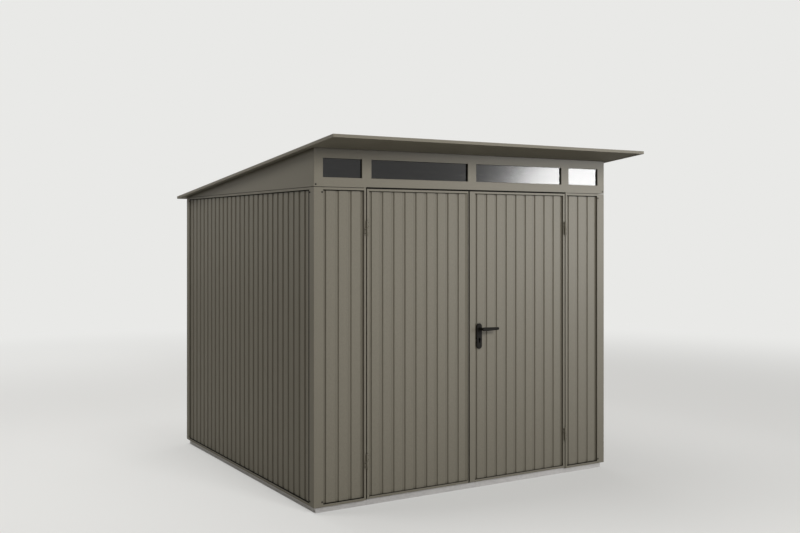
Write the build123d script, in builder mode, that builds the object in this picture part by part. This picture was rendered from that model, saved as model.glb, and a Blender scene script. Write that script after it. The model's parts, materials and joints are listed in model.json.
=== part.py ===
from build123d import *
import os
from math import atan, copysign, cos, degrees, sin, sqrt, tan

# Metal tool shed with a lean-to roof, a double door and a band of windows above it.
# Millimetres, +Z up. The origin lies on the ground under the middle of the roof,
# the door wall faces -Y, and left and right are as seen from in front of the doors.

# Overall sizes
wall_width = 2380.0
wall_depth = 2380.0
wall_bottom = 38.0
wall_top = 2022.0
band_height = 242.0
eaves_height = 6.0
roof_front_overhang = 360.0
roof_rear_overhang = 100.0
roof_side_overhang = 50.0

# Folded steel
fold_thickness = 2.0
sheet_thickness = 1.5
wall_thickness = 40.0
rail_face = 15.0
rail_lip = 34.0
seam_height = 3.0
seam_depth = 12.0
post_face = 65.0
sheet_lap = 28.0

# Ribbed sheet
sheet_setback = 8.0
groove_pitch = 84.0
groove_mouth = 29.0
groove_floor = 18.0
groove_depth = 7.0
bay_groove_pitch = 90.0
first_bay_groove = 10.0
first_leaf_groove = 25.5
sheet_flange = 20.0
sheet_joint = 0.6

# Floor
frame_setback = 20.0
frame_flange = 50.0
tray_drop = 2.0
tray_count = 3
tray_joint = 0.6

# Doorway and leaves
doorway_side = 368.0
jamb_face = 14.0
jamb_stop = 15.0
leaf_gap = 7.0
meeting_gap = 11.0
meeting_offset = -24.5
threshold_gap = 6.0
head_gap = 7.0
leaf_thickness = 34.0
leaf_rail_face = 14.0
hinge_stile_face = 15.0
meeting_stile_face = 7.0
lock_stile_face = 43.0
leaf_lip = 25.0
brace_height = 40.0
leaf_brace_gap = 20.5
wall_brace_centre = 1030.0
stop_drop = 20.0
stop_rise = 36.0
stop_return = 12.0

# Hinges
hinge_heights = (285.0, 1769.0)
hinge_length = 92.0
knuckle_radius = 6.5
knuckle_standoff = 0.5
pin_radius = 3.5
pin_clearance = 0.1
pin_offset = 6.0
hinge_plate = 2.5
hinge_plate_width = 12.0
hinge_edge_gap = 1.0
knuckle_split = 0.5

# Lock and handle
lever_inset = 81.0
lever_height = 1083.0
lock_centres = 72.0
plate_length = 173.0
plate_width = 42.0
plate_thickness = 9.0
plate_rise = 36.0
plate_round = 2.5
neck_radius = 9.5
neck_clearance = 0.3
neck_reach = 46.0
lever_length = 125.0
lever_root_radius = 12.5
lever_tip_radius = 9.5
lever_thickness = 12.0
lever_round = 4.0
spindle_side = 8.0
spindle_clearance = 0.4
neck_seat = 1.0
case_depth = 95.0
case_height = 165.0
case_thickness = 15.0
case_drop = 45.0
faceplate_height = 235.0
faceplate_width = 22.0
cylinder_radius = 8.5
cylinder_tail = 10.0
cylinder_height = 33.0
cylinder_play = 0.2
key_slot = 1.6
key_slot_height = 8.0
key_slot_depth = 4.0
sheet_hole_margin = 4.0

# Windows
window_sill = 62.0
window_height = 120.0
end_post = 62.0
mullion = 68.0
small_window = 277.0
reveal_depth = 30.0
pane_setback = 12.0
pane_thickness = 4.0

# Gables and roof
gable_flange = 25.0
roof_pan = 11.0
roof_rib_height = 5.0
roof_rib_base = 50.0
roof_rib_crown = 30.0
roof_panel_count = 4
ribs_per_panel = 3
trim_lip = 30.0
purlin_depth = 60.0
purlin_flange = 35.0
purlin_fractions = (1 / 3, 2 / 3)

# Worked out from the sizes above
left = -wall_width / 2
right = wall_width / 2
slope = atan((band_height - eaves_height) / wall_depth)
roof_thickness = roof_pan + roof_rib_height
roof_lean = roof_thickness * sin(slope)
roof_reach = wall_depth + roof_front_overhang + roof_rear_overhang
front = roof_front_overhang - (roof_reach + roof_lean) / 2
rear = front + wall_depth
band_bottom = wall_top + seam_height
sheet_back = sheet_setback + groove_depth + sheet_thickness
sheet_bottom = wall_bottom + fold_thickness
sheet_top = wall_top - fold_thickness
leaf_bottom = wall_bottom + threshold_gap
leaf_top = band_bottom - head_gap
leaf_height = leaf_top - leaf_bottom
front_bay_end = doorway_side - jamb_face
meeting_line = wall_width / 2 + meeting_offset
lever_place = meeting_line + meeting_gap / 2 + lever_inset
faceplate_middle = lever_height - case_drop
leaf_brace_top = faceplate_middle - faceplate_height / 2 - leaf_brace_gap
plate_centre = lever_height + plate_rise - plate_length / 2
cylinder_middle = lever_height - lock_centres + cylinder_radius - cylinder_height / 2
pin_stand = knuckle_radius + knuckle_standoff

os.makedirs("parts", exist_ok=True)


def roof_underside(y):
    """Height of the roof's underside at a place along Y."""
    return wall_top + band_height - (y - front) * tan(slope)


# Each wall has its own axes: along the wall, inward from its face, and up.
# Seen from above, "along" runs anticlockwise round the shed.
wall_axes = {
    "front": (Vector(left, front), Vector(1, 0), Vector(0, 1)),
    "right": (Vector(right, front), Vector(0, 1), Vector(-1, 0)),
    "rear": (Vector(right, rear), Vector(-1, 0), Vector(0, -1)),
    "left": (Vector(left, rear), Vector(0, -1), Vector(1, 0)),
}
wall_lengths = {
    "front": wall_width,
    "right": wall_depth,
    "rear": wall_width,
    "left": wall_depth,
}


def plan_plane(wall, height):
    """Level plane on a wall: x along it, y inward, at a height."""
    corner, along, _ = wall_axes[wall]
    return Plane(origin=corner + Vector(0, 0, height), x_dir=along, z_dir=(0, 0, 1))


def cross_plane(wall, distance):
    """Plane across a wall: x inward, y up, at a distance along it."""
    corner, along, inward = wall_axes[wall]
    return Plane(origin=corner + along * distance, x_dir=inward, z_dir=along)


def folded(points, side):
    """Section of a sheet folded along a path, for use inside a sketch."""
    with BuildLine() as path:
        Polyline(*points)
        offset(amount=fold_thickness, side=side, kind=Kind.INTERSECTION)
    make_face(path.edges())


def groove_places(first, limit, pitch):
    """Middles of a row of grooves, from the first one as far as a limit on either side of it."""
    step = copysign(pitch, limit - first)
    return [first + step * number for number in range(int((limit - first) / step) + 1)]


def ribbed(start, end, grooves):
    """Section of a ribbed sheet, cut off square at start and end, for a sketch of its own."""
    outline = [(min(start, *grooves) - groove_mouth, sheet_setback)]
    for centre in sorted(grooves):
        outline += [
            (centre - groove_mouth / 2, sheet_setback),
            (centre - groove_floor / 2, sheet_setback + groove_depth),
            (centre + groove_floor / 2, sheet_setback + groove_depth),
            (centre + groove_mouth / 2, sheet_setback),
        ]
    outline.append((max(end, *grooves) + groove_mouth, sheet_setback))
    back = [(along, inward + sheet_thickness) for along, inward in reversed(outline)]
    with BuildLine() as edge:
        Polyline(*outline, *back, close=True)
    make_face(edge.edges())
    with Locations((start, sheet_setback)):
        Rectangle(
            end - start,
            groove_depth + sheet_thickness,
            align=(Align.MIN, Align.MIN),
            mode=Mode.INTERSECT,
        )


def save(part, label):
    part.label = label
    export_step(part, f"parts/{label}.step")


# Floor frame: four channels that open inward, set back from the wall faces and mitred
frame_inner = frame_setback + frame_flange
frame_section = [
    (frame_inner, 0),
    (frame_setback, 0),
    (frame_setback, wall_bottom),
    (frame_inner, wall_bottom),
]
for wall, length in wall_lengths.items():
    with BuildPart() as frame_bar:
        with BuildSketch(cross_plane(wall, 0)):
            folded(frame_section, Side.RIGHT)
        extrude(amount=length)
        with BuildSketch(plan_plane(wall, 0)):
            with BuildLine():
                Polyline(
                    (frame_setback, frame_setback),
                    (frame_inner, frame_inner),
                    (length - frame_inner, frame_inner),
                    (length - frame_setback, frame_setback),
                    close=True,
                )
            make_face()
        extrude(amount=wall_bottom, mode=Mode.INTERSECT)
    save(frame_bar.part, f"floor_frame_{wall}")

# Floor: folded trays side by side between the frame's channels
floor_width = wall_width - 2 * frame_inner
floor_depth = wall_depth - 2 * frame_inner
tray_height = wall_bottom - tray_drop
tray_pitch = (floor_width + tray_joint) / tray_count
tray_width = tray_pitch - tray_joint
with BuildPart() as floor_panels:
    with BuildSketch(Plane.XY):
        with Locations((0, (front + rear) / 2)):
            with GridLocations(tray_pitch, 0, tray_count, 1):
                Rectangle(tray_width, floor_depth)
    extrude(amount=tray_height)
    with BuildSketch(Plane.XY):
        with Locations((0, (front + rear) / 2)):
            with GridLocations(tray_pitch, 0, tray_count, 1):
                Rectangle(tray_width - 2 * fold_thickness, floor_depth - 2 * fold_thickness)
    extrude(amount=tray_height - fold_thickness, mode=Mode.SUBTRACT)
save(floor_panels.part, "floor_panels")

# Corner posts: an angle with returns that bear on the sheets
post_section = [
    (post_face, sheet_setback),
    (post_face, 0),
    (0, 0),
    (0, post_face),
    (sheet_setback, post_face),
]
post_names = {
    "front": "corner_post_front_left",
    "right": "corner_post_front_right",
    "rear": "corner_post_rear_right",
    "left": "corner_post_rear_left",
}
for wall, name in post_names.items():
    with BuildPart() as post:
        with BuildSketch(plan_plane(wall, wall_bottom)):
            folded(post_section, Side.RIGHT)
        extrude(amount=wall_top - wall_bottom)
    save(post.part, name)

# Wall rails: a channel at the foot and one at the head, with the sheet between
foot_section = [
    (0, wall_bottom + rail_face),
    (0, wall_bottom),
    (wall_thickness, wall_bottom),
    (wall_thickness, wall_bottom + rail_lip),
]
head_section = [
    (0, wall_top - rail_face),
    (0, wall_top),
    (seam_depth, wall_top),
    (seam_depth, band_bottom),
    (wall_thickness, band_bottom),
    (wall_thickness, band_bottom - rail_lip),
]
rail_spans = {wall: [(post_face, wall_lengths[wall] - post_face)] for wall in wall_axes}
rail_spans["front"] = [
    (post_face, front_bay_end),
    (wall_width - front_bay_end, wall_width - post_face),
]
for wall, spans in rail_spans.items():
    with BuildPart() as rails:
        for start, end in spans:
            with BuildSketch(cross_plane(wall, start)):
                folded(foot_section, Side.LEFT)
                folded(head_section, Side.RIGHT)
            extrude(amount=end - start)
    save(rails.part, f"{wall}_wall_rails")

# Wall sheets: two ribbed sheets on each closed wall, flanged where they meet
sheet_start = post_face - sheet_lap
for wall in ("right", "rear", "left"):
    length = wall_lengths[wall]
    middle = length / 2
    near = groove_places(middle - groove_pitch / 2, post_face + groove_mouth / 2, groove_pitch)
    far = [length - place for place in near]
    seam_near = middle - sheet_joint / 2
    seam_far = middle + sheet_joint / 2
    with BuildPart() as sheets:
        for start, end, grooves, seam, flange_side in (
            (sheet_start, seam_near, near, seam_near, Align.MAX),
            (seam_far, length - sheet_start, far, seam_far, Align.MIN),
        ):
            with BuildSketch(plan_plane(wall, sheet_bottom)):
                ribbed(start, end, grooves)
                with Locations((seam, sheet_setback)):
                    Rectangle(sheet_thickness, sheet_flange, align=(flange_side, Align.MIN))
            extrude(amount=sheet_top - sheet_bottom)
    save(sheets.part, f"{wall}_wall_sheets")

# Front bays: one ribbed sheet each side of the doorway
bay_end = doorway_side - fold_thickness
left_bay_grooves = groove_places(
    front_bay_end - first_bay_groove,
    post_face - groove_mouth / 2,
    bay_groove_pitch,
)
right_bay_grooves = [wall_width - place for place in left_bay_grooves]
with BuildPart() as front_sheets:
    for start, end, grooves in (
        (sheet_start, bay_end, left_bay_grooves),
        (wall_width - bay_end, wall_width - sheet_start, right_bay_grooves),
    ):
        with BuildSketch(plan_plane("front", sheet_bottom)):
            ribbed(start, end, grooves)
        extrude(amount=sheet_top - sheet_bottom)
save(front_sheets.part, "front_wall_sheets")

# Wall braces: a channel across the back of each closed wall's sheets
brace_section = [
    (sheet_back, wall_brace_centre - brace_height / 2),
    (wall_thickness, wall_brace_centre - brace_height / 2),
    (wall_thickness, wall_brace_centre + brace_height / 2),
    (sheet_back, wall_brace_centre + brace_height / 2),
]
with BuildPart() as wall_braces:
    for wall in ("right", "rear", "left"):
        for start in (post_face, wall_lengths[wall] / 2 + sheet_flange):
            with BuildSketch(cross_plane(wall, start)):
                folded(brace_section, Side.LEFT)
            extrude(amount=wall_lengths[wall] / 2 - sheet_flange - post_face)
save(wall_braces.part, "wall_braces")

# Door jambs: a face strip, a web and a stop behind the leaf
for name, turn in (("door_jamb_left", 1), ("door_jamb_right", -1)):
    edge = doorway_side if turn > 0 else wall_width - doorway_side
    jamb_section = [
        (edge - turn * jamb_face, 0),
        (edge, 0),
        (edge, wall_thickness),
        (edge + turn * jamb_stop, wall_thickness),
    ]
    with BuildPart() as jamb:
        with BuildSketch(plan_plane("front", wall_bottom)):
            folded(jamb_section, Side.LEFT if turn > 0 else Side.RIGHT)
        extrude(amount=band_bottom - wall_bottom)
    save(jamb.part, name)

# Door stop: a strip on the back of the window band that hangs behind the leaves,
# between the stops of the two jambs
stop_section = [
    (wall_thickness, band_bottom + stop_rise),
    (wall_thickness, band_bottom - stop_drop),
    (wall_thickness + stop_return, band_bottom - stop_drop),
]
stop_inset = doorway_side + jamb_stop
with BuildPart() as door_stop:
    with BuildSketch(cross_plane("front", stop_inset)):
        folded(stop_section, Side.LEFT)
    extrude(amount=wall_width - 2 * stop_inset)
save(door_stop.part, "door_stop")

# Window band: a folded face with four punched windows and their reveals
large_window = (wall_width - 2 * end_post - 3 * mullion - 2 * small_window) / 2
window_widths = (small_window, large_window, large_window, small_window)
window_centres = []
reach = end_post
for width in window_widths:
    window_centres.append(reach + width / 2)
    reach += width + mullion
window_middle = wall_top + window_sill + window_height / 2
band_section = [
    (0, band_bottom),
    (wall_thickness, band_bottom),
    (wall_thickness, roof_underside(front + wall_thickness)),
    (0, roof_underside(front)),
]
front_face = Plane(origin=(left, front, 0), x_dir=(1, 0, 0), z_dir=(0, -1, 0))
with BuildPart() as window_band:
    with BuildSketch(cross_plane("front", fold_thickness)):
        with BuildLine():
            Polyline(*band_section, close=True)
        make_face()
    extrude(amount=wall_width - 2 * fold_thickness)
    with BuildSketch(cross_plane("front", 2 * fold_thickness)):
        with BuildLine():
            Polyline(
                (fold_thickness, band_bottom + fold_thickness),
                (wall_thickness, band_bottom + fold_thickness),
                (wall_thickness, roof_underside(front + wall_thickness) - fold_thickness),
                (fold_thickness, roof_underside(front + fold_thickness) - fold_thickness),
                close=True,
            )
        make_face()
    extrude(amount=wall_width - 4 * fold_thickness, mode=Mode.SUBTRACT)
    with BuildSketch(front_face):
        for centre, width in zip(window_centres, window_widths):
            with Locations((centre, window_middle)):
                Rectangle(width + 2 * fold_thickness, window_height + 2 * fold_thickness)
    extrude(amount=-reveal_depth)
    with BuildSketch(front_face):
        for centre, width in zip(window_centres, window_widths):
            with Locations((centre, window_middle)):
                Rectangle(width, window_height)
    extrude(amount=-reveal_depth, mode=Mode.SUBTRACT)
save(window_band.part, "window_band")

# Window panes: flat sheets set back in the reveals
with BuildPart() as window_panes:
    with BuildSketch(front_face.offset(-pane_setback)):
        for centre, width in zip(window_centres, window_widths):
            with Locations((centre, window_middle)):
                Rectangle(width, window_height)
    extrude(amount=-pane_thickness)
save(window_panes.part, "window_panes")

# Gables: plain sheets on the side walls that follow the roof, with a foot flange
gable_outline = [
    (front, band_bottom),
    (front, roof_underside(front)),
    (rear, roof_underside(rear)),
    (rear, band_bottom),
]
flange_middle = (front + rear) / 2
for name, edge, turn in (("left_gable", left, 1), ("right_gable", right, -1)):
    with BuildPart() as gable:
        with BuildSketch(Plane.YZ.offset(edge)):
            with BuildLine():
                Polyline(*gable_outline, close=True)
            make_face()
        extrude(amount=turn * fold_thickness)
        with BuildSketch(Plane.YZ.offset(edge)):
            with Locations((flange_middle, band_bottom)):
                Rectangle(
                    wall_depth - 2 * wall_thickness,
                    fold_thickness,
                    align=(Align.CENTER, Align.MIN),
                )
        extrude(amount=turn * gable_flange)
    save(gable.part, name)

# Eaves strip: closes the wedge between the rear wall's head rail and the roof
eaves_outline = [
    (0, band_bottom),
    (0, roof_underside(rear)),
    (wall_thickness, roof_underside(rear - wall_thickness)),
    (wall_thickness, band_bottom),
]
with BuildPart() as eaves_strip:
    with BuildSketch(cross_plane("rear", fold_thickness)):
        with BuildLine():
            Polyline(*eaves_outline, close=True)
        make_face()
    extrude(amount=wall_width - 2 * fold_thickness)
save(eaves_strip.part, "rear_eaves_strip")

# The roof is drawn on its slope, from the middle of its front lower edge:
# x across, y up from the underside, and extrusions run down the slope.
roof_width = wall_width + 2 * roof_side_overhang
roof_length = roof_reach / cos(slope)
roof_start = front - roof_front_overhang
roof_edge = Vector(0, roof_start, roof_underside(roof_start))
down_slope = Vector(0, cos(slope), -sin(slope))
roof_cross = Plane(origin=roof_edge, x_dir=(1, 0, 0), z_dir=-down_slope)
roof_side = Plane(origin=roof_edge, x_dir=down_slope, z_dir=(1, 0, 0))

# Roof panels: flat below, with low ribs above that run down the slope
panel_width = (roof_width - 2 * fold_thickness) / roof_panel_count
for number in range(roof_panel_count):
    panel_middle = (number - (roof_panel_count - 1) / 2) * panel_width
    with BuildPart() as panel:
        with BuildSketch(roof_cross.offset(-fold_thickness)):
            with Locations((panel_middle, 0)):
                Rectangle(panel_width, roof_pan, align=(Align.CENTER, Align.MIN))
            with Locations((panel_middle, roof_pan)):
                with GridLocations(panel_width / ribs_per_panel, 0, ribs_per_panel, 1):
                    Trapezoid(
                        roof_rib_base,
                        roof_rib_height,
                        degrees(atan(2 * roof_rib_height / (roof_rib_base - roof_rib_crown))),
                        align=(Align.CENTER, Align.MIN),
                    )
        extrude(amount=-(roof_length - 2 * fold_thickness))
    save(panel.part, f"roof_panel_{number + 1}")

# Roof trims: channels that wrap the edges of the panels, closed at the roof's corners
trim_section = [
    (trim_lip, -fold_thickness),
    (0, -fold_thickness),
    (0, roof_thickness + fold_thickness),
    (trim_lip, roof_thickness + fold_thickness),
]
rear_section = [(roof_length - along, up) for along, up in trim_section]
for name, section, side, cap_middle in (
    ("roof_trim_front", trim_section, Side.RIGHT, trim_lip / 2),
    ("roof_trim_rear", rear_section, Side.LEFT, roof_length - trim_lip / 2),
):
    with BuildPart() as trim:
        with BuildSketch(roof_side.offset(-roof_width / 2)):
            folded(section, side)
        extrude(amount=roof_width)
        for corner, inward in ((-roof_width / 2, 1), (roof_width / 2, -1)):
            with BuildSketch(roof_side.offset(corner)):
                with Locations((cap_middle, roof_thickness / 2)):
                    Rectangle(trim_lip, roof_thickness + 2 * fold_thickness)
            extrude(amount=inward * fold_thickness)
    save(trim.part, name)
with BuildPart() as side_trims:
    with BuildSketch(roof_cross.offset(-trim_lip)):
        folded([(along - roof_width / 2, up) for along, up in trim_section], Side.RIGHT)
        folded([(roof_width / 2 - along, up) for along, up in trim_section], Side.LEFT)
    extrude(amount=-(roof_length - 2 * trim_lip))
save(side_trims.part, "roof_trim_sides")

# Purlins: channels across the shed under the panels, from gable to gable
with BuildPart() as purlins:
    for fraction in purlin_fractions:
        place = (roof_front_overhang + wall_depth * fraction) / cos(slope)
        with BuildSketch(roof_side.offset(-(wall_width / 2 - fold_thickness))):
            folded(
                [
                    (place + purlin_flange, 0),
                    (place, 0),
                    (place, -purlin_depth),
                    (place + purlin_flange, -purlin_depth),
                ],
                Side.LEFT,
            )
        extrude(amount=wall_width - 2 * fold_thickness)
save(purlins.part, "roof_purlins")

# Door leaves: each is a channel frame round a ribbed sheet, drawn on the front wall's plan
leaf_meeting = {1: meeting_line - meeting_gap / 2, -1: meeting_line + meeting_gap / 2}
leaf_hinge_edge = {
    1: doorway_side + leaf_gap,
    -1: wall_width - doorway_side - leaf_gap,
}
pin_place = {1: doorway_side + pin_offset, -1: wall_width - doorway_side - pin_offset}
meeting_face = {1: meeting_stile_face, -1: lock_stile_face}
meeting_lip = {1: leaf_lip, -1: lock_stile_face}
leaf_name = {1: "left_door", -1: "right_door"}


def stile(edge, turn, face, lip):
    """Plan section of a stile, open towards the middle of its leaf."""
    points = [
        (edge + turn * face, 0),
        (edge, 0),
        (edge, leaf_thickness),
        (edge + turn * lip, leaf_thickness),
    ]
    folded(points, Side.RIGHT if turn > 0 else Side.LEFT)


def lip_zone(edge, turn, face, lip):
    """Plan of the two lips of a stile, which the rails are notched to clear."""
    with Locations((edge, 0)):
        Rectangle(face, fold_thickness, align=(Align.MIN if turn > 0 else Align.MAX, Align.MIN))
    with Locations((edge, leaf_thickness)):
        Rectangle(lip, fold_thickness, align=(Align.MIN if turn > 0 else Align.MAX, Align.MAX))


leaf_foot_section = [
    (0, leaf_bottom + leaf_rail_face),
    (0, leaf_bottom),
    (leaf_thickness, leaf_bottom),
    (leaf_thickness, leaf_bottom + leaf_lip),
]
leaf_head_section = [
    (0, leaf_top - leaf_rail_face),
    (0, leaf_top),
    (leaf_thickness, leaf_top),
    (leaf_thickness, leaf_top - leaf_lip),
]
leaf_brace_section = [
    (sheet_back, leaf_brace_top - brace_height),
    (leaf_thickness, leaf_brace_top - brace_height),
    (leaf_thickness, leaf_brace_top),
    (sheet_back, leaf_brace_top),
]
for turn, name in leaf_name.items():
    hinge_edge = leaf_hinge_edge[turn]
    meeting_edge = leaf_meeting[turn]
    inner_start = min(hinge_edge, meeting_edge) + fold_thickness
    inner_end = max(hinge_edge, meeting_edge) - fold_thickness
    with BuildPart() as stiles:
        with BuildSketch(plan_plane("front", leaf_bottom)):
            stile(hinge_edge, turn, hinge_stile_face, leaf_lip)
            stile(meeting_edge, -turn, meeting_face[turn], meeting_lip[turn])
        extrude(amount=leaf_height)
        if turn < 0:
            with BuildSketch(cross_plane("front", meeting_edge)):
                with Locations((leaf_thickness / 2, faceplate_middle)):
                    Rectangle(faceplate_width, faceplate_height)
            extrude(amount=fold_thickness, mode=Mode.SUBTRACT)
    save(stiles.part, f"{name}_stiles")
    with BuildPart() as rails:
        with BuildSketch(cross_plane("front", inner_start)):
            folded(leaf_foot_section, Side.LEFT)
            folded(leaf_head_section, Side.RIGHT)
            folded(leaf_brace_section, Side.LEFT)
        extrude(amount=inner_end - inner_start)
        with BuildSketch(plan_plane("front", leaf_bottom)):
            lip_zone(hinge_edge, turn, hinge_stile_face, leaf_lip)
            lip_zone(meeting_edge, -turn, meeting_face[turn], meeting_lip[turn])
        extrude(amount=leaf_height, mode=Mode.SUBTRACT)
    save(rails.part, f"{name}_rails")
    grooves = groove_places(
        hinge_edge + turn * first_leaf_groove,
        meeting_edge + turn * groove_mouth / 2,
        groove_pitch,
    )
    with BuildPart() as leaf_sheet:
        with BuildSketch(plan_plane("front", leaf_bottom + fold_thickness)):
            ribbed(inner_start, inner_end, grooves)
        extrude(amount=leaf_height - 2 * fold_thickness)
        if turn < 0:
            with BuildSketch(front_face):
                with Locations((lever_place, lever_height)):
                    Circle(neck_radius + sheet_hole_margin)
                with Locations((lever_place, cylinder_middle)):
                    Circle(cylinder_height / 2 + sheet_hole_margin)
            extrude(amount=-leaf_thickness, mode=Mode.SUBTRACT)
    save(leaf_sheet.part, f"{name}_sheet")

# Hinges: a fixed knuckle with its pin below, and a knuckle on the leaf above
knuckle_length = hinge_length / 2


def knuckle_base(turn, start, width):
    """Plan of a knuckle and its plate on the face, for use inside a sketch."""
    with Locations((pin_place[turn], -pin_stand)):
        Circle(knuckle_radius)
    with Locations((start, 0)):
        Rectangle(width, hinge_plate, align=(Align.MIN, Align.MAX))


with BuildPart() as fixed_hinges:
    for turn in leaf_name:
        plate_end = doorway_side + pin_offset - hinge_edge_gap
        plate_start = doorway_side - hinge_plate_width
        fixed_plate_width = plate_end - plate_start
        begin = plate_start if turn > 0 else wall_width - plate_end
        for middle in hinge_heights:
            with BuildSketch(plan_plane("front", middle - knuckle_length)):
                knuckle_base(turn, begin, fixed_plate_width)
            extrude(amount=knuckle_length)
            with BuildSketch(plan_plane("front", middle)):
                with Locations((pin_place[turn], -pin_stand)):
                    Circle(pin_radius)
            extrude(amount=knuckle_length)
save(fixed_hinges.part, "fixed_hinges")

for turn, name in leaf_name.items():
    plate_start = leaf_hinge_edge[1] + hinge_edge_gap
    begin = plate_start if turn > 0 else wall_width - plate_start - hinge_plate_width
    with BuildPart() as leaf_hinges:
        for middle in hinge_heights:
            with BuildSketch(plan_plane("front", middle + knuckle_split)):
                knuckle_base(turn, begin, hinge_plate_width)
                with Locations((pin_place[turn], -pin_stand)):
                    Circle(pin_radius + pin_clearance, mode=Mode.SUBTRACT)
            extrude(amount=knuckle_length - knuckle_split)
    save(leaf_hinges.part, f"{name}_hinges")

# Lock case: a flat box behind the sheet, with its faceplate let into the lock stile
lock_edge = leaf_meeting[-1]
case_back = leaf_thickness - fold_thickness


def cylinder_outline(grow):
    """Key-cylinder profile, a circle with a tail below it, for use inside a sketch."""
    tail = cylinder_height - 2 * cylinder_radius
    with Locations((lever_place, lever_height - lock_centres)):
        Circle(cylinder_radius + grow)
        with Locations((0, -cylinder_radius - grow)):
            SlotOverall(
                2 * (tail + grow),
                cylinder_tail + 2 * grow,
                rotation=90,
            )


with BuildPart() as lock_case:
    with BuildSketch(front_face.offset(-(case_back - case_thickness))):
        with Locations((lock_edge + fold_thickness, faceplate_middle)):
            Rectangle(case_depth, case_height, align=(Align.MIN, Align.CENTER))
    extrude(amount=-case_thickness)
    with BuildSketch(cross_plane("front", lock_edge)):
        with Locations((leaf_thickness / 2, faceplate_middle)):
            Rectangle(faceplate_width, faceplate_height)
    extrude(amount=fold_thickness)
    with BuildSketch(front_face):
        with Locations((lever_place, lever_height)):
            Circle(spindle_side / sqrt(2) + spindle_clearance)
        cylinder_outline(cylinder_play)
    extrude(amount=-leaf_thickness, mode=Mode.SUBTRACT)
save(lock_case.part, "lock_case")

# Handle plates: long rounded plates outside and inside, cut out for the lever and the cylinder
plate_outer = sheet_setback
plate_inner = case_back
with BuildPart() as handle_plates:
    for seat, direction in ((plate_outer, 1), (plate_inner, -1)):
        with BuildSketch(front_face.offset(-seat)):
            with Locations((lever_place, plate_centre)):
                SlotOverall(plate_length, plate_width, rotation=90)
            with Locations((lever_place, lever_height)):
                Circle(neck_radius + neck_clearance, mode=Mode.SUBTRACT)
        extrude(amount=direction * plate_thickness)
    faces_out = handle_plates.faces().filter_by(Axis.Y).sort_by(Axis.Y)
    outer_rim = faces_out[0].outer_wire().edges()
    inner_rim = faces_out[-1].outer_wire().edges()
    fillet(outer_rim + inner_rim, plate_round)
    with BuildSketch(front_face.offset(plate_thickness)):
        cylinder_outline(cylinder_play)
    extrude(amount=-(leaf_thickness + 2 * plate_thickness), mode=Mode.SUBTRACT)
save(handle_plates.part, "handle_plates")

# Key cylinder: through both plates and the case, with a key slot at each end
cylinder_front = plate_thickness - plate_outer
cylinder_length = plate_inner + plate_thickness + cylinder_front
with BuildPart() as lock_cylinder:
    with BuildSketch(front_face.offset(cylinder_front)):
        cylinder_outline(0)
    extrude(amount=-cylinder_length)
    for end, direction in ((cylinder_front, -1), (cylinder_front - cylinder_length, 1)):
        with BuildSketch(front_face.offset(end)):
            with Locations((lever_place, lever_height - lock_centres)):
                Rectangle(key_slot, key_slot_height)
        extrude(amount=direction * key_slot_depth, mode=Mode.SUBTRACT)
save(lock_cylinder.part, "lock_cylinder")

# Lever: the two grips, their necks and the square spindle that joins them
grip_ends = {
    1: cylinder_front + neck_reach,
    -1: -(plate_inner + plate_thickness + neck_reach),
}
neck_ends = {1: neck_seat - plate_outer, -1: -neck_seat - plate_inner}
with BuildPart() as door_lever:
    for outward, grip_end in grip_ends.items():
        with BuildSketch(front_face.offset(grip_end)):
            with Locations((lever_place, lever_height)):
                Circle(lever_root_radius)
            with Locations((lever_place + lever_length - lever_tip_radius, lever_height)):
                Circle(lever_tip_radius)
            make_hull()
        extrude(amount=outward * lever_thickness)
    fillet(door_lever.faces().filter_by(Axis.Y).edges(), lever_round)
    for outward, grip_end in grip_ends.items():
        with BuildSketch(front_face.offset(grip_end)):
            with Locations((lever_place, lever_height)):
                Circle(neck_radius)
        extrude(amount=neck_ends[outward] - grip_end)
    with BuildSketch(front_face.offset(neck_ends[1])):
        with Locations((lever_place, lever_height)):
            Rectangle(spindle_side, spindle_side)
    extrude(amount=neck_ends[-1] - neck_ends[1])
save(door_lever.part, "door_lever")
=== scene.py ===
import json
from math import atan2, cos, pi, radians, sin, tan

import bmesh
import bpy
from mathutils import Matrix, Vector


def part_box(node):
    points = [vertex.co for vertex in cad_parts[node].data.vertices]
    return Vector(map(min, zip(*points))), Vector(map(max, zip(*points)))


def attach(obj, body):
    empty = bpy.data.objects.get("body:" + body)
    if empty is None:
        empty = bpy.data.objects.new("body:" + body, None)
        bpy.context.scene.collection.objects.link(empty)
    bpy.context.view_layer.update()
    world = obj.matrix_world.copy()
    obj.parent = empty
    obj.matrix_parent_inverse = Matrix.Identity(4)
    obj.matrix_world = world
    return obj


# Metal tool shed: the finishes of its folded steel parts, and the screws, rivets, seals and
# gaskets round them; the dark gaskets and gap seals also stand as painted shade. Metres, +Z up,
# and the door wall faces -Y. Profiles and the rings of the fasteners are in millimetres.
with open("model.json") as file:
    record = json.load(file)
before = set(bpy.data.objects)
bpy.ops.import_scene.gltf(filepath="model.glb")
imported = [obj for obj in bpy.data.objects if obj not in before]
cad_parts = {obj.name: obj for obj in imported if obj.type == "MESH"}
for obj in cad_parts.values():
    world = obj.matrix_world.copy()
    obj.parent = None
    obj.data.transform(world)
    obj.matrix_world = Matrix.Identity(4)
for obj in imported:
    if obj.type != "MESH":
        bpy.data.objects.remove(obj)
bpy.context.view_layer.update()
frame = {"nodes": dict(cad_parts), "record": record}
nodes = frame["nodes"]
MM = 0.001
X, Y, Z = Vector((1, 0, 0)), Vector((0, 1, 0)), Vector((0, 0, 1))


# Colours and shader nodes


def linear(hex_colour):
    """A colour written as sRGB hex, in the linear values that shaders take."""
    parts = [int(hex_colour[i : i + 2], 16) / 255 for i in (1, 3, 5)]
    return [c / 12.92 if c <= 0.04045 else ((c + 0.055) / 1.055) ** 2.4 for c in parts] + [1.0]


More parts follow.
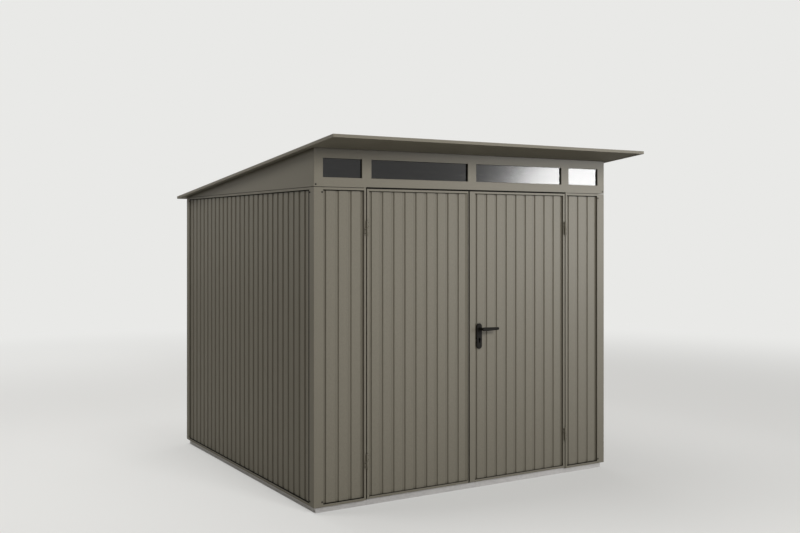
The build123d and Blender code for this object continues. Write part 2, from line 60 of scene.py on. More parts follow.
def add(tree, kind, inputs, out=0, **settings):
    """Adds a shader node with its settings and its inputs, and gives back one of its outputs.
    An input is a value, or the output of another node that is linked to it."""
    node = tree.nodes.new("ShaderNode" + kind)
    for name, value in settings.items():
        setattr(node, name, value)
    for socket, value in inputs.items():
        if isinstance(value, bpy.types.NodeSocket):
            tree.links.new(value, node.inputs[socket])
        else:
            node.inputs[socket].default_value = value
    return node.outputs[out] if node.outputs else node


# Sockets of a colour Mix node, which has several of each name
FACTOR, FIRST, SECOND, MIXED = 0, 6, 7, 2


def new_finish(name):
    """A material with an empty node tree, and the coordinates of its piece in metres."""
    material = bpy.data.materials.new(name)
    material.use_nodes = True
    tree = material.node_tree
    tree.nodes.clear()
    return material, tree, add(tree, "TexCoord", {}, "Object")


def coated_steel(name, shade, flake_shade, painted_fold_shade):
    """Galvanised sheet, coil-coated with polyester paint that holds fine metal flake. It gives
    a satin warm grey, with a faint glint of flake and the slow waves of thin folded sheet. Its
    folds and corners are darkened with painted shade where other surfaces are near."""
    material, tree, place = new_finish(name)
    # Real flake is 0.05 mm wide, drawn coarse so that it shows
    flake = add(tree, "TexNoise", {"Vector": place, "Scale": 1 / (5 * MM), "Detail": 3.0})
    cloud = add(tree, "TexNoise", {"Vector": place, "Scale": 1 / (240 * MM), "Detail": 2.0})
    peel = add(tree, "TexNoise", {"Vector": place, "Scale": 1 / (2.5 * MM), "Detail": 2.0})
    grain = add(tree, "MapRange", {"Value": flake, "From Min": 0.35, "From Max": 0.65})
    paint = add(
        tree,
        "Mix",
        {FACTOR: grain, FIRST: linear(shade), SECOND: linear(flake_shade)},
        MIXED,
        data_type="RGBA",
    )
    # Painted shade: the paint turns towards the fold shade where ambient occlusion finds other
    # surfaces near
    openness = add(tree, "AmbientOcclusion", {"Distance": 25 * MM}, "AO", samples=8)
    inner = add(tree, "MapRange", {"Value": openness, "From Min": 0.97, "From Max": 0.45})
    colour = add(
        tree,
        "Mix",
        {FACTOR: inner, FIRST: paint, SECOND: linear(painted_fold_shade)},
        MIXED,
        data_type="RGBA",
    )
    waves = add(tree, "Bump", {"Height": cloud, "Strength": 0.25, "Distance": 1.2 * MM})
    skin = add(
        tree,
        "Bump",
        {"Height": peel, "Strength": 0.2, "Distance": 0.03 * MM, "Normal": waves},
    )
    sheen = add(
        tree,
        "MapRange",
        {"Value": flake, "From Min": 0.3, "From Max": 0.7, "To Min": 0.5, "To Max": 0.58},
    )
    surface = add(
        tree,
        "BsdfPrincipled",
        {
            "Base Color": colour,
            "Metallic": 0.1,
            "Roughness": sheen,
            "Normal": skin,
            "Coat Weight": 0.06,
            "Coat Roughness": 0.3,
        },
    )
    add(tree, "OutputMaterial", {"Surface": surface})
    return material


def galvanised_steel(name, dull, bright, spangle):
    """Hot-dip galvanised steel: cool pale zinc whose crystals show as a soft patchwork."""
    material, tree, place = new_finish(name)
    cells = add(tree, "TexVoronoi", {"Vector": place, "Scale": 1 / spangle}, "Color")
    patch = add(tree, "SeparateColor", {"Color": cells})
    colour = add(
        tree,
        "Mix",
        {FACTOR: patch, FIRST: linear(dull), SECOND: linear(bright)},
        MIXED,
        data_type="RGBA",
    )
    ripple = add(tree, "TexNoise", {"Vector": place, "Scale": 1 / (6 * MM)})
    skin = add(tree, "Bump", {"Height": ripple, "Strength": 0.2, "Distance": 0.05 * MM})
    sheen = add(tree, "MapRange", {"Value": patch, "To Min": 0.45, "To Max": 0.55})
    surface = add(
        tree,
        "BsdfPrincipled",
        {"Base Color": colour, "Metallic": 0.5, "Roughness": sheen, "Normal": skin},
    )
    add(tree, "OutputMaterial", {"Surface": surface})
    return material


def smoked_acrylic(name):
    """Extruded acrylic sheet with a smoke tint: dark seen through, with a soft-edged mirror."""
    material, tree, place = new_finish(name)
    ripple = add(tree, "TexNoise", {"Vector": place, "Scale": 1 / (180 * MM)})
    haze = add(tree, "TexNoise", {"Vector": place, "Scale": 1 / (30 * MM)})
    skin = add(tree, "Bump", {"Height": ripple, "Strength": 0.2, "Distance": 0.4 * MM})
    sheen = add(tree, "MapRange", {"Value": haze, "To Min": 0.13, "To Max": 0.165})
    surface = add(
        tree,
        "BsdfPrincipled",
        {
            "Base Color": linear("#4d4b49"),
            "Roughness": sheen,
            "IOR": 1.49,
            "Transmission Weight": 1.0,
            "Normal": skin,
        },
    )
    add(tree, "OutputMaterial", {"Surface": surface})
    return material


def powder_coat(name, shade, grain_shade, gloss):
    """Powder-coated zinc casting: near black, satin, with the powder's fine grain."""
    material, tree, place = new_finish(name)
    # Powder grain is 0.3 mm wide, drawn coarse so that it shows
    grain = add(tree, "TexNoise", {"Vector": place, "Scale": 1 / (1.5 * MM)})
    skin = add(tree, "Bump", {"Height": grain, "Strength": 0.3, "Distance": 0.03 * MM})
    colour = add(
        tree,
        "Mix",
        {FACTOR: grain, FIRST: linear(shade), SECOND: linear(grain_shade)},
        MIXED,
        data_type="RGBA",
    )
    sheen = add(tree, "MapRange", {"Value": grain, "To Min": 0.55, "To Max": 0.68})
    surface = add(
        tree,
        "BsdfPrincipled",
        {"Base Color": colour, "Roughness": sheen, "Specular IOR Level": gloss, "Normal": skin},
    )
    add(tree, "OutputMaterial", {"Surface": surface})
    return material


def zinc_plate(name, shade, pale_shade):
    """Bright zinc-plated steel: pale, a little yellow, with fine drawing lines along the plate."""
    material, tree, place = new_finish(name)
    stretched = add(tree, "Mapping", {"Vector": place, "Scale": (1, 1, 0.03)})
    lines = add(tree, "TexNoise", {"Vector": stretched, "Scale": 1 / (1.2 * MM)})
    colour = add(
        tree,
        "Mix",
        {FACTOR: lines, FIRST: linear(shade), SECOND: linear(pale_shade)},
        MIXED,
        data_type="RGBA",
    )
    sheen = add(tree, "MapRange", {"Value": lines, "To Min": 0.26, "To Max": 0.4})
    surface = add(
        tree,
        "BsdfPrincipled",
        {"Base Color": colour, "Metallic": 1.0, "Roughness": sheen},
    )
    add(tree, "OutputMaterial", {"Surface": surface})
    return material


def rubber(name, shade, bloom_shade):
    """Extruded EPDM rubber: matt and near black, with a paler bloom where it has been rubbed."""
    material, tree, place = new_finish(name)
    bloom = add(tree, "TexNoise", {"Vector": place, "Scale": 1 / (12 * MM), "Detail": 4.0})
    colour = add(
        tree,
        "Mix",
        {FACTOR: bloom, FIRST: linear(shade), SECOND: linear(bloom_shade)},
        MIXED,
        data_type="RGBA",
    )
    sheen = add(tree, "MapRange", {"Value": bloom, "To Min": 0.7, "To Max": 0.85})
    surface = add(
        tree,
        "BsdfPrincipled",
        {"Base Color": colour, "Roughness": sheen, "Specular IOR Level": 0.1},
    )
    add(tree, "OutputMaterial", {"Surface": surface})
    return material


finishes = {
    # The third colour of each coated steel is its painted shade in folds and corners
    "wall_paint": coated_steel("coated_steel_walls", "#7a7568", "#827d70", "#5c574b"),
    "roof_paint": coated_steel("coated_steel_roof", "#7a7568", "#827d70", "#5c574b"),
    "galvanised_steel": galvanised_steel("galvanised_frame", "#cbc9c8", "#d3d1d0", 14 * MM),
    "floor_steel": galvanised_steel("galvanised_floor", "#a6a6a3", "#bcbcb9", 18 * MM),
    "acrylic_pane": smoked_acrylic("smoked_acrylic"),
    "lock_steel": zinc_plate("zinc_plated_steel", "#b9b5a8", "#cbc8be"),
    "black_fitting": powder_coat("black_powder_coat", "#191715", "#22201c", 0.15),
}
# Black zinc for the screws; on the strike plate the same dark is painted shade that keeps the
# meeting gap dark
black_zinc_and_gap_shade = zinc_plate("black_zinc_screw_and_gap_shade", "#2e2c29", "#45423e")
# Near-black for the lock cylinder: painted shade for the shadowed hollow of its key slot
keyhole_shade_black = powder_coat("cylinder_keyhole_shade", "#020202", "#040404", 0.0)
seal_rubber = rubber("epdm_rubber", "#080807", "#151412")
# Rubber toned to the darkness of the shade lines it stands in for, by the posts and on the leaf
# rails: painted shade
shade_line_rubber = rubber("shade_line_epdm_rubber", "#24221f", "#33302b")
for part in frame["record"]["subparts"]:
    for slot in nodes[part["node"]].material_slots:
        slot.link = "OBJECT"
        slot.material = finishes[part["material_slot"]]
# The lock cylinder gets the painted shade of its key slot
for slot in nodes["lock_cylinder"].material_slots:
    slot.material = keyhole_shade_black

# Folds and edges: coated steel bends over a small radius, which catches a fine line of light
FOLD_RADIUS = 0.8 * MM
SHARP_PIECES = ("window_panes", "floor_panels", "lock_cylinder", "door_lever", "handle_plates")
for part in frame["record"]["subparts"]:
    if part["node"] not in SHARP_PIECES:
        weld = nodes[part["node"]].modifiers.new("weld", "WELD")
        weld.merge_threshold = 0.01 * MM
        bevel = nodes[part["node"]].modifiers.new("folds", "BEVEL")
        bevel.width = FOLD_RADIUS
        bevel.segments = 2
        bevel.limit_method = "ANGLE"
        bevel.angle_limit = radians(30)
        bevel.harden_normals = True


# Pieces


def new_piece(name, body, finish, points, faces):
    """A mesh that rides on a body, shaded smooth apart from its sharp edges."""
    shape = bmesh.new()
    corners = [shape.verts.new(point) for point in points]
    for face in faces:
        shape.faces.new([corners[i] for i in face])
    bmesh.ops.recalc_face_normals(shape, faces=shape.faces)
    mesh = bpy.data.meshes.new(name)
    shape.to_mesh(mesh)
    shape.free()
    mesh.shade_smooth()
    mesh.set_sharp_from_angle(angle=radians(35))
    mesh.materials.append(finish)
    piece = bpy.data.objects.new(name, mesh)
    bpy.context.scene.collection.objects.link(piece)
    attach(piece, body)
    return piece


def turned(rings, steps=18):
    """Points and faces turned round +Z through rings, each a radius, a height and whether it is
    six-sided. The last ring is closed with a flat face."""
    points = []
    for radius, height, six_sided in rings:
        for step in range(steps):
            angle = 2 * pi * step / steps
            off_flat = (angle + pi / 6) % (pi / 3) - pi / 6
            reach = radius / cos(off_flat) if six_sided else radius
            points.append(Vector((reach * cos(angle), reach * sin(angle), height)) * MM)
    faces = []
    for ring in range(len(rings) - 1):
        for step in range(steps):
            here, there = ring * steps + step, ring * steps + (step + 1) % steps
            faces.append((here, there, there + steps, here + steps))
    faces.append(tuple(range(len(points) - steps, len(points))))
    return points, faces


ROUND, HEX = False, True
PAN_SCREW = turned(
    [
        (5.5, 0, ROUND),
        (5.5, 0.7, ROUND),
        (5.2, 1.0, ROUND),
        (4.4, 1.0, ROUND),
        (4.3, 1.9, ROUND),
        (3.7, 2.6, ROUND),
        (2.8, 3.0, ROUND),
        (2.0, 3.2, HEX),
        (2.0, 1.8, HEX),
    ]
)
BLIND_RIVET = turned(
    [
        (3.2, 0, ROUND),
        (3.1, 0.5, ROUND),
        (2.5, 1.0, ROUND),
        (1.3, 1.2, ROUND),
        (1.2, 0.8, ROUND),
    ]
)
ROOF_SCREW = turned(
    [
        (9.5, 0, ROUND),
        (9.5, 1.0, ROUND),
        (8.8, 1.7, ROUND),
        (6.4, 2.2, ROUND),
        (6.2, 2.9, ROUND),
        (4.0, 3.0, HEX),
        (4.0, 6.4, HEX),
        (3.4, 6.9, HEX),
    ]
)
SUNK_SCREW = turned(
    [
        (4.5, 0, ROUND),
        (4.5, 0.25, ROUND),
        (4.2, 0.4, ROUND),
        (1.6, 0.4, HEX),
        (1.5, 0.1, HEX),
    ]
)


def fasteners(name, body, shape, places, finish=black_zinc_and_gap_shade):
    """One piece of many steel fasteners, each at a place and facing a direction."""
    points, faces = [], []
    for place, facing in places:
        turn = facing.to_track_quat("Z", "Y")
        start = len(points)
        points += [place + turn @ point for point in shape[0]]
        faces += [tuple(start + i for i in face) for face in shape[1]]
    new_piece(name, body, finish, points, faces)


def profiled(
    name, body, stations, profile, finish=seal_rubber, closed=False
):
    """A piece of one profile along stations, each a place and the directions of its two axes.
    It is black rubber unless said, and a closed one runs on from its last station to its first."""
    points = [
        place + (across * a + out * b) * MM for place, across, out in stations for a, b in profile
    ]
    size = len(profile)
    count = len(stations)
    faces = []
    for station in range(count if closed else count - 1):
        here, there = station * size, (station + 1) % count * size
        for i in range(size):
            j = (i + 1) % size
            faces.append((here + i, here + j, there + j, there + i))
    if not closed:
        faces += [tuple(range(size)), tuple(range((count - 1) * size, count * size))]
    new_piece(name, body, finish, points, faces)


# The shed's walls, from the faces of their corner posts
shed_low, shed_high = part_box("corner_post_front_left")[0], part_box("corner_post_rear_right")[1]
wall_top = shed_high.z
wall_length = shed_high.x - shed_low.x
post_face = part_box("corner_post_front_left")[1].x - shed_low.x

# Corner posts: a screw near the top and the foot of each face, by its inner edge, and a square
# rubber plug in the foot of each, between its faces and the ends of the sheets
POST_SCREW_END_GAP = 31 * MM
POST_SCREW_EDGE_GAP = 8 * MM
PLUG_START = 1.0
PLUG_LEVELS = (0.3 * MM, 6 * MM)
plug_end = (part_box("left_wall_sheets")[0].y - shed_low.y) / MM - PLUG_START
plug = [
    (PLUG_START, PLUG_START),
    (plug_end, PLUG_START),
    (plug_end, plug_end),
    (PLUG_START, plug_end),
]
screw_inset = post_face - POST_SCREW_EDGE_GAP
post_screws = []
for post in ("front_left", "front_right", "rear_left", "rear_right"):
    low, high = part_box("corner_post_" + post)
    side = X if "right" in post else -X
    end = Y if "rear" in post else -Y
    edge = Vector((high.x if "right" in post else low.x, high.y if "rear" in post else low.y, 0))
    for height in (low.z + POST_SCREW_END_GAP, high.z - POST_SCREW_END_GAP):
        post_screws.append((edge - side * screw_inset + Z * height, end))
        post_screws.append((edge - end * screw_inset + Z * height, side))
    run = [(edge + Z * (low.z + level), -side, -end) for level in PLUG_LEVELS]
    profiled(f"{post}_post_plug", "shed", run, plug)
fasteners("post_screws", "shed", PAN_SCREW, post_screws)

# Roof: a hexagon screw with a sealing washer in every rib crown, over the walls and purlins
ROOF_PANELS = 4
RIBS_PER_PANEL = 3
WALL_MIDDLE = 20 * MM
PURLIN_FLANGE_MIDDLE = 18 * MM
CROWN_SINK = 0.3 * MM
roof_boxes = [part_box(f"roof_panel_{number}") for number in range(1, ROOF_PANELS + 1)]
roof_low, roof_high = roof_boxes[0][0], roof_boxes[-1][1]
purlin_low, purlin_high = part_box("roof_purlins")
band_low, band_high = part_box("window_band")
eaves_low, eaves_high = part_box("rear_eaves_strip")
slope = atan2(band_high.z - eaves_high.z, eaves_low.y - band_low.y)
roof_normal = Vector((0, sin(slope), cos(slope)))
rib_count = ROOF_PANELS * RIBS_PER_PANEL
rib_pitch = (roof_high.x - roof_low.x) / rib_count
screw_lines = (
    shed_low.y + WALL_MIDDLE,
    purlin_low.y + PURLIN_FLANGE_MIDDLE,
    purlin_high.y - PURLIN_FLANGE_MIDDLE,
    shed_high.y - WALL_MIDDLE,
)
roof_screws = []
for rib in range(rib_count):
    for y in screw_lines:
        crown = roof_high.z - (y - roof_low.y) * tan(slope)
        place = Vector((roof_low.x + rib_pitch * (rib + 0.5), y, crown - CROWN_SINK))
        roof_screws.append((place, roof_normal))
fasteners("roof_screws", "shed", ROOF_SCREW, roof_screws)

# Window band: a screw at each end of its foot
BAND_SCREW_INSET = 11 * MM
BAND_SCREW_RISE = 14 * MM
band_screws = [
    (Vector((x, band_low.y, band_low.z + BAND_SCREW_RISE)), -Y)
    for x in (band_low.x + BAND_SCREW_INSET, band_high.x - BAND_SCREW_INSET)
]
fasteners("band_screws", "shed", PAN_SCREW, band_screws)

# Panes: a thin rubber bead round each, in the corner between the pane and its reveal. Each
# recess is a little larger all round than the opening that is stated for it.
BEAD = [(0, 0), (-1.6, 0), (-1.4, 0.7), (-0.7, 1.4), (0, 1.6)]
OPENING_CLEARANCE = 1 * MM
pane_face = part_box("window_panes")[0].y
openings = frame["record"]["physics"]["openings"]
recesses = [opening for opening in openings if opening["name"].startswith("window_recess")]
for number, recess in enumerate(recesses, 1):
    (x_low, _, z_low), (x_high, _, z_high) = recess["box_m"]
    middle = Vector(((x_low + x_high) / 2, pane_face, (z_low + z_high) / 2))
    half_width = X * ((x_high - x_low) / 2 + OPENING_CLEARANCE)
    half_height = Z * ((z_high - z_low) / 2 + OPENING_CLEARANCE)
    ring = [
        (middle + half_width * sx + half_height * sz, X * sx + Z * sz, -Y)
        for sx, sz in ((-1, -1), (1, -1), (1, 1), (-1, 1))
    ]
    profiled(f"pane_bead_{number}", "shed", ring, BEAD, closed=True)

# Wall gaskets: a rubber lip along the foot rail and the head rail of each wall, and a broader
# one beside the front post of each side wall, between the folded edge and the ribbed sheet.
# They are dark strips set where the rails and posts cast thin shade lines: painted shade.
LIP_BACK = 2 * MM
RAIL_FACE = 15 * MM
WALL_SHADE_GASKET = [(0, 0), (6, 0), (6, 4.5), (3.5, 5.2), (1, 4.2), (0, 2)]
POST_SHADE_GASKET = [(-1.2, 0), (6, 0), (6, 15), (4, 16), (-0.5, 15), (-1.2, 13.5)]
jamb_low, jamb_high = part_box("door_jamb_left")
other_jamb_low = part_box("door_jamb_right")[0]
rail_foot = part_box("left_wall_rails")[0].z
bay_end = jamb_low.x - shed_low.x
closed_wall = [(post_face, wall_length - post_face)]
door_wall = [(post_face, bay_end), (wall_length - bay_end, wall_length - post_face)]
# Each wall's first corner, the directions along it and into the shed, and the spans of its rails
walls = {
    "front": (Vector((shed_low.x, shed_low.y, 0)), X, Y, door_wall),
    "right": (Vector((shed_high.x, shed_low.y, 0)), Y, -X, closed_wall),
    "rear": (Vector((shed_high.x, shed_high.y, 0)), -X, -Y, closed_wall),
    "left": (Vector((shed_low.x, shed_high.y, 0)), -Y, X, closed_wall),
}
wall_levels = {"foot": (rail_foot + RAIL_FACE, Z), "head": (wall_top - RAIL_FACE, -Z)}
for wall, (corner, along, inward, spans) in walls.items():
    for end, (height, up) in wall_levels.items():
        for number, span in enumerate(spans, 1):
            start = corner + inward * LIP_BACK + Z * height
            run = [(start + along * place, inward, up) for place in span]
            profiled(f"{wall}_{end}_gasket_{number}", "shed", run, WALL_SHADE_GASKET)
for wall, face, inward in (("left", shed_low.x, X), ("right", shed_high.x, -X)):
    run = [
        (Vector((face, shed_low.y + post_face, height)) + inward * LIP_BACK, inward, Y)
        for height, _ in wall_levels.values()
    ]
    profiled(f"{wall}_post_gasket", "shed", run, POST_SHADE_GASKET, finish=shade_line_rubber)

# Leaf gaskets: a thinner lip along the foot rail and the head rail of each leaf, a dark strip
# where each rail casts its thin shade line: painted shade
LEAF_RAIL_FACE = 14 * MM
HINGE_STILE_FACE = 15 * MM
MEETING_STILE_FACE = 7 * MM
LOCK_STILE_FACE = 43 * MM
LEAF_SHADE_GASKET = [(0, 0), (6, 0), (6, 3.0), (4, 3.5), (1, 2.8), (0, 1.5)]
left_low, left_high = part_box("left_door_stiles")
right_low, right_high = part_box("right_door_stiles")
leaf_spans = {
    "left_door": (left_low.x + HINGE_STILE_FACE, left_high.x - MEETING_STILE_FACE),
    "right_door": (right_low.x + LOCK_STILE_FACE, right_high.x - HINGE_STILE_FACE),
}
leaf_levels = {
    "foot": (left_low.z + LEAF_RAIL_FACE, Z),
    "head": (left_high.z - LEAF_RAIL_FACE, -Z),
}
for leaf, span in leaf_spans.items():
    for end, (height, up) in leaf_levels.items():
        run = [(Vector((x, shed_low.y + LIP_BACK, height)), Y, up) for x in span]
        profiled(f"{leaf}_{end}_gasket", leaf, run, LEAF_SHADE_GASKET, finish=shade_line_rubber)

# Closing strip: a folded painted strip over the cut groove by the left leaf's meeting stile
CLOSING_STRIP = [(-20, 7.2), (-8, 3.4), (-2.2, 3.4), (-2.2, 4.2), (-8, 4.2), (-20, 8.0)]
wall_paint = finishes["wall_paint"]
run = [(Vector((left_high.x, shed_low.y, height)), X, Y) for height, _ in leaf_levels.values()]
profiled("left_door_closing_strip", "left_door", run, CLOSING_STRIP, wall_paint)

# Stop seals: a rubber bulb on each jamb's stop and under the band, behind the leaves' edges
SEAL_CLEARANCE = 1 * MM
STOP_SEAL_INSET = 8 * MM
BULB_WIDTH = 11.0
BULB_HEIGHT = 3.1
BULB_BASE = 0.4
BULB_FULLNESS = 0.8
BULB_STEPS = 8
bulb = []
for step in range(BULB_STEPS + 1):
    angle = pi * step / BULB_STEPS
    rise = BULB_HEIGHT * sin(angle) ** BULB_FULLNESS
    bulb.append((BULB_WIDTH / 2 * cos(angle), BULB_BASE + rise))
bulb += [(-BULB_WIDTH / 2, 0), (BULB_WIDTH / 2, 0)]
stop_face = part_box("door_stop")[0].y
seal_levels = (left_low.z, band_low.z - SEAL_CLEARANCE)
stop_seals = {"left": jamb_high.x - STOP_SEAL_INSET, "right": other_jamb_low.x + STOP_SEAL_INSET}
for side, x in stop_seals.items():
    run = [(Vector((x, stop_face, z)), X, -Y) for z in seal_levels]
    profiled(f"stop_seal_{side}", "shed", run, bulb)
head_line = left_high.z + SEAL_CLEARANCE
run = [(Vector((x, stop_face, head_line)), Z, -Y) for x in (jamb_high.x, other_jamb_low.x)]
profiled("stop_seal_head", "shed", run, bulb)

# Gap seals: a rubber fin in each hinge gap and over the leaves, and a lip on the left leaf's
# meeting edge. They are real seals and also painted shade: their black rubber sits close
# behind the faces so that the gaps read dark. Each profile's second numbers are depths behind
# the face of the doors.
JAMB_STOP = 15 * MM
FIN_CLEARANCE = 1.5
FIN_BASE = 2
HEAD_SHADE_FIN = [(-3, -1), (4.5, -1), (5.5, 0), (5.5, 4), (2, 8), (2, 21), (0, 21), (0, 0), (-3, 0)]
MEETING_SHADE_LIP = [(0, 1.5), (1.5, 1.5), (8, 2.5), (8, 4), (1.5, 6.5), (0, 6.5)]
doorway = (jamb_high.x - JAMB_STOP, other_jamb_low.x + JAMB_STOP)
reach = (left_low.x - doorway[0]) / MM - FIN_CLEARANCE
hinge_shade_fin = [(0, 12), (reach, 15), (reach, 17), (FIN_BASE, 20), (FIN_BASE, 32), (0, 32)]
for side, x, across in (("left", doorway[0], X), ("right", doorway[1], -X)):
    run = [(Vector((x, jamb_low.y, z)), across, Y) for z in seal_levels]
    profiled(f"hinge_shade_seal_{side}", "shed", run, hinge_shade_fin)
run = [(Vector((x, jamb_low.y, band_low.z)), -Z, Y) for x in doorway]
profiled("head_shade_seal", "shed", run, HEAD_SHADE_FIN)
run = [(Vector((left_high.x, left_low.y, z)), X, Y) for z in (left_low.z, left_high.z)]
profiled("meeting_shade_seal", "left_door", run, MEETING_SHADE_LIP)

# Strike plate: a thin plate on the left leaf's meeting edge, across from the lock's
# faceplate, made dark as painted shade so that the meeting gap reads dark. Its cells lie between
# depths from the door's face and heights from the foot of the lock case, and the cells in front
# of the bolt and the latch are left open.
STRIKE_THICKNESS = 1.5 * MM
STRIKE_BACK_CLEARANCE = 0.2 * MM
STRIKE_EDGES = (7 * MM, 27 * MM)
WINDOW_EDGES = (10.5 * MM, 23.5 * MM)
BOLT_SPAN = (33.5 * MM, 69.5 * MM)
LATCH_SPAN = (105.5 * MM, 131.5 * MM)
WINDOW_CELLS = ((1, 1), (1, 3))
case_low, case_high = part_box("lock_case")
depths = (STRIKE_EDGES[0], *WINDOW_EDGES, STRIKE_EDGES[1])
heights = (0, *BOLT_SPAN, *LATCH_SPAN, case_high.z - case_low.z)
strike_x = left_high.x + STRIKE_THICKNESS + STRIKE_BACK_CLEARANCE
strike_corner = Vector((strike_x, left_low.y, case_low.z))
strike_points = [strike_corner + Y * depth + Z * height for depth in depths for height in heights]
rows = len(heights)
strike_faces = [
    (i * rows + j, (i + 1) * rows + j, (i + 1) * rows + j + 1, i * rows + j + 1)
    for i in range(len(depths) - 1)
    for j in range(rows - 1)
    if (i, j) not in WINDOW_CELLS
]
strike = new_piece(
    "strike_plate", "left_door", black_zinc_and_gap_shade, strike_points, strike_faces
)
thickness = strike.modifiers.new("thickness", "SOLIDIFY")
thickness.thickness = STRIKE_THICKNESS

# Hinges: two rivets in each plate, with the fixed plate below and the leaf's plate above
HINGE_HALF = 46 * MM
HINGE_PLATE = 2.5 * MM
RIVET_END_GAP = 11 * MM
JAMB_RIVET_REACH = 13.5 * MM
LEAF_RIVET_REACH = 10.5 * MM
hinges_low, hinges_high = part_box("fixed_hinges")
pins = {joint["name"]: joint["pos_m"] for joint in frame["record"]["behaviour"]["joints"]}
for side, outward in (("left", -X), ("right", X)):
    pin_x = pins[side + "_door_hinge"][0]
    plate = Vector((pin_x, jamb_low.y - HINGE_PLATE, 0))
    jamb_rivets, leaf_rivets = [], []
    for middle in (hinges_low.z + HINGE_HALF, hinges_high.z - HINGE_HALF):
        for gap in (RIVET_END_GAP, HINGE_HALF - RIVET_END_GAP):
            below, above = Z * (middle - HINGE_HALF + gap), Z * (middle + gap)
            jamb_rivets.append((plate + outward * JAMB_RIVET_REACH + below, -Y))
            leaf_rivets.append((plate - outward * LEAF_RIVET_REACH + above, -Y))
    fasteners(f"{side}_jamb_rivets", "shed", BLIND_RIVET, jamb_rivets)
    fasteners(f"{side}_leaf_rivets", side + "_door", BLIND_RIVET, leaf_rivets)

# Lock: two sunk screws in its faceplate and two in the inner handle plate
FACEPLATE_MIDDLE = 17 * MM
FACEPLATE_END_GAP = 12 * MM
HANDLE_PLATE_END_GAP = 13 * MM
bright_zinc = finishes["lock_steel"]
faceplate_screws = [
    (Vector((case_low.x, right_low.y + FACEPLATE_MIDDLE, z)), -X)
    for z in (case_low.z + FACEPLATE_END_GAP, case_high.z - FACEPLATE_END_GAP)
]
fasteners("faceplate_screws", "right_door", SUNK_SCREW, faceplate_screws, bright_zinc)
plates_low, plates_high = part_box("handle_plates")
plates_middle = (plates_low.x + plates_high.x) / 2
handle_screws = [
    (Vector((plates_middle, plates_high.y, z)), Y)
    for z in (plates_low.z + HANDLE_PLATE_END_GAP, plates_high.z - HANDLE_PLATE_END_GAP)
]
fasteners("handle_screws", "right_door", SUNK_SCREW, handle_screws, bright_zinc)


# Camera: the photograph's, with its film plane upright so that uprights stay parallel
camera = bpy.data.objects.new("photo_camera", bpy.data.cameras.new("photo_camera"))
camera.data.sensor_width = 36
camera.data.lens = 44.34
camera.data.shift_y = -0.0445
camera.location = (-3.860, -6.544, 1.750)
camera.rotation_euler = (radians(90), 0, radians(-30.96))
bpy.context.scene.collection.objects.link(camera)
bpy.context.scene.camera = camera
bpy.context.scene.view_settings.view_transform = "Standard"


def rays_that_see(tree, *others):
    """Factor that is 1 for rays from the camera and for rays of the other kinds named."""
    seen = add(tree, "LightPath", {}, "Is Camera Ray")
    for name in others:
        other = add(tree, "LightPath", {}, name)
        seen = add(tree, "Math", {0: seen, 1: other}, operation="MAXIMUM")
    return seen


# World: an even pale room, which the lamps outshine on the object
BACKDROP = linear("#e9e9e7")
world = bpy.data.worlds.new("studio")
world.use_nodes = True
world.node_tree.nodes.clear()
ambient = add(world.node_tree, "Background", {"Color": linear("#fff1df"), "Strength": 0.1})
backdrop = add(world.node_tree, "Background", {"Color": BACKDROP, "Strength": 1.0})
looking = rays_that_see(world.node_tree, "Is Glossy Ray", "Is Transmission Ray")
room = add(world.node_tree, "MixShader", {0: looking, 1: ambient, 2: backdrop})
add(world.node_tree, "OutputWorld", {"Surface": room})
bpy.context.scene.world = world


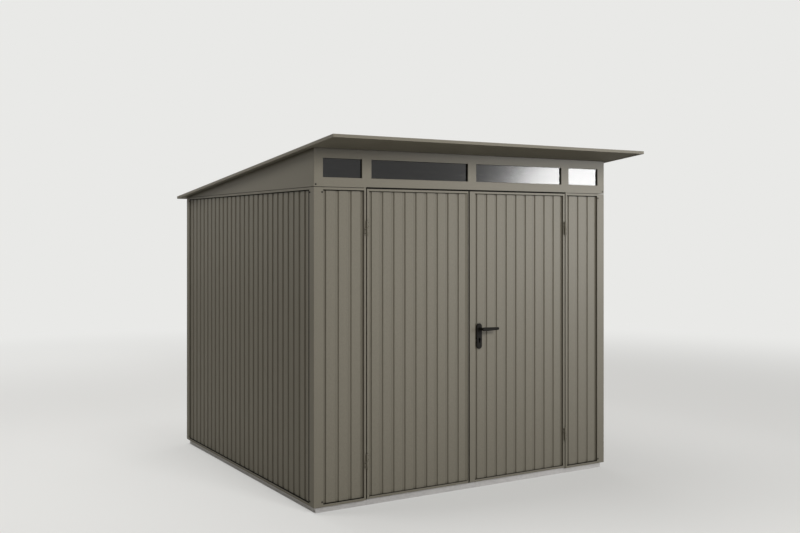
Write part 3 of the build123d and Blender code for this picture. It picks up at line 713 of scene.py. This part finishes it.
def studio_floor():
    """Pale matt floor that runs out into the backdrop's colour far from the shed. It throws
    back less light onto the shed than it shows the camera."""
    floor_radius = 40.0
    fade_start = 3.0
    fade_end = 11.0
    near_glow = 0.45
    mesh = bpy.data.meshes.new("studio_floor")
    corners = [(-1, -1), (1, -1), (1, 1), (-1, 1)]
    points = [(x * floor_radius, y * floor_radius, 0) for x, y in corners]
    mesh.from_pydata(points, [], [(0, 1, 2, 3)])
    floor = bpy.data.objects.new("studio_floor", mesh)
    bpy.context.scene.collection.objects.link(floor)
    material, tree, place = new_finish("matt_floor")
    away = add(tree, "VectorMath", {0: place}, "Value", operation="LENGTH")
    fade = add(
        tree,
        "MapRange",
        {"Value": away, "From Min": fade_start, "From Max": fade_end, "To Min": near_glow},
        interpolation_type="SMOOTHSTEP",
    )
    seen = rays_that_see(tree, "Is Transmission Ray")
    shade = add(
        tree,
        "Mix",
        {FACTOR: seen, FIRST: linear("#aeada8"), SECOND: linear("#e4e4e2")},
        MIXED,
        data_type="RGBA",
    )
    near = add(tree, "BsdfDiffuse", {"Color": shade})
    far = add(tree, "Emission", {"Color": BACKDROP, "Strength": 1.0})
    fade_seen = add(tree, "Math", {0: fade, 1: seen}, operation="MULTIPLY")
    surface = add(tree, "MixShader", {0: fade_seen, 1: near, 2: far})
    add(tree, "OutputMaterial", {"Surface": surface})
    mesh.materials.append(material)


studio_floor()


def lamp(name, place, aim, size, power, shape="SQUARE", mirrored=True, lighting=True):
    """Soft area lamp at a place, turned to a point on the shed. It isn't seen by the camera,
    and may be left out of mirror light or out of matt light."""
    data = bpy.data.lights.new(name, "AREA")
    data.shape = shape
    data.size = size
    data.energy = power
    lamp_object = bpy.data.objects.new(name, data)
    lamp_object.location = place
    lamp_object.rotation_euler = (Vector(aim) - Vector(place)).to_track_quat("-Z", "Y").to_euler()
    lamp_object.visible_camera = False
    lamp_object.visible_glossy = mirrored
    lamp_object.visible_diffuse = lighting
    bpy.context.scene.collection.objects.link(lamp_object)


# Lamps: a disc with mirror light only, for the bright patch in the panes, and four softboxes
lamp("pane_disc", (6.3, -7.0, 2.0), (0.4, -1.0, 1.7), 2.25, 272, "DISK", lighting=False)
lamp("front_softbox", (0.3, -8.8, 4.7), (0, -1.0, 1.8), 2.6, 446, mirrored=False)
lamp("overhead_softbox", (0, 1.0, 7.0), (0, 0, 2.3), 5.0, 260)
lamp("rear_softbox", (-1.5, 8.5, 4.0), (0, 1.0, 1.2), 3.0, 150, mirrored=False)
lamp("left_softbox", (-3.5, 0.6, 5.4), (-1.2, 0, 2.0), 1.8, 80, mirrored=False)
